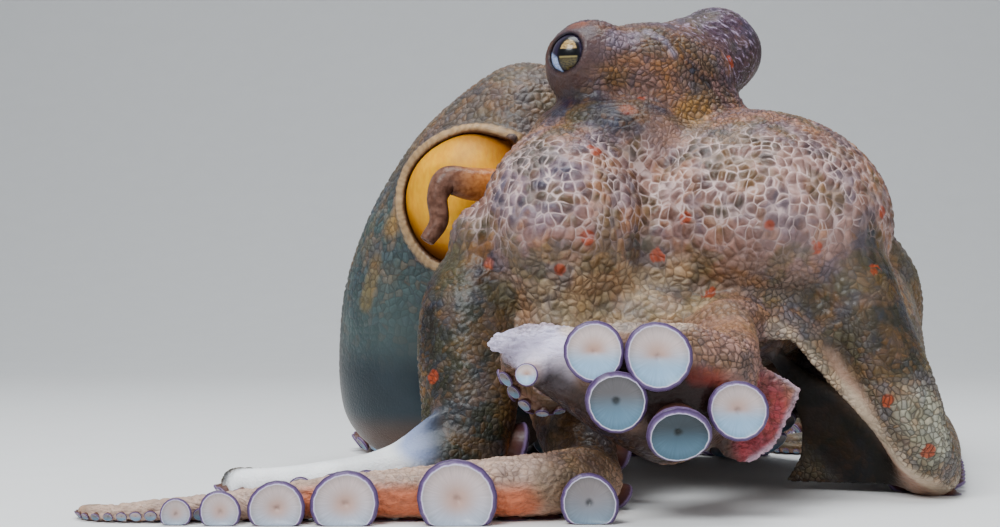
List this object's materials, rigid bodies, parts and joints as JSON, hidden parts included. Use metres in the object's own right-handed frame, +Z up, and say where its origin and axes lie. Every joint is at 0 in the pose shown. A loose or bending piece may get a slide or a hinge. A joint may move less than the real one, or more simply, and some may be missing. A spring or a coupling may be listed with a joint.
{
  "type": "octopus",
  "caption": "Life-size still model of a common octopus crouched on the floor, one arm held up in front with its suckers showing, the others curled behind.",
  "frame": {"origin": "middle of the animal's outline seen from above, at floor level", "axes": "+X to the right as seen in the picture, +Y away from the viewer, +Z up"},
  "size_m": [0.3717, 0.3775, 0.1928],
  "materials": {
    "crown_skin": "moist skin",
    "mantle_skin": "moist skin",
    "arm_skin": "moist skin",
    "eye_glass": "glossy",
    "funnel_skin": "moist skin",
    "lining_skin": "moist skin"
  },
  "bodies": {
    "root": {"arm_r1_base": "arm_skin", "arm_r1_mid": "arm_skin", "arm_r1_outer": "arm_skin", "arm_r1_tip": "arm_skin", "arm_r2_base": "arm_skin", "arm_r2_mid": "arm_skin", "arm_r2_outer": "arm_skin", "arm_r2_tip": "arm_skin", "arm_r3_base": "arm_skin", "arm_r3_mid": "arm_skin", "arm_r3_outer": "arm_skin", "arm_r3_tip": "arm_skin", "arm_r4_base": "arm_skin", "arm_r4_mid": "arm_skin", "arm_r4_outer": "arm_skin", "arm_r4_tip": "arm_skin", "arm_l4_base": "arm_skin", "arm_l4_mid": "arm_skin", "arm_l4_outer": "arm_skin", "arm_l4_tip": "arm_skin", "arm_l3_base": "arm_skin", "arm_l3_mid": "arm_skin", "arm_l3_outer": "arm_skin", "arm_l3_tip": "arm_skin", "arm_l2_base": "arm_skin", "arm_l2_mid": "arm_skin", "arm_l2_outer": "arm_skin", "arm_l2_tip": "arm_skin", "arm_l1_base": "arm_skin", "arm_l1_mid": "arm_skin", "arm_l1_outer": "arm_skin", "arm_l1_tip": "arm_skin", "web": "crown_skin", "head": "crown_skin", "mantle": "mantle_skin", "eye_right": "eye_glass", "eye_left": "eye_glass", "funnel": "funnel_skin", "mantle_lining": "lining_skin"}
  },
  "joints": []
}
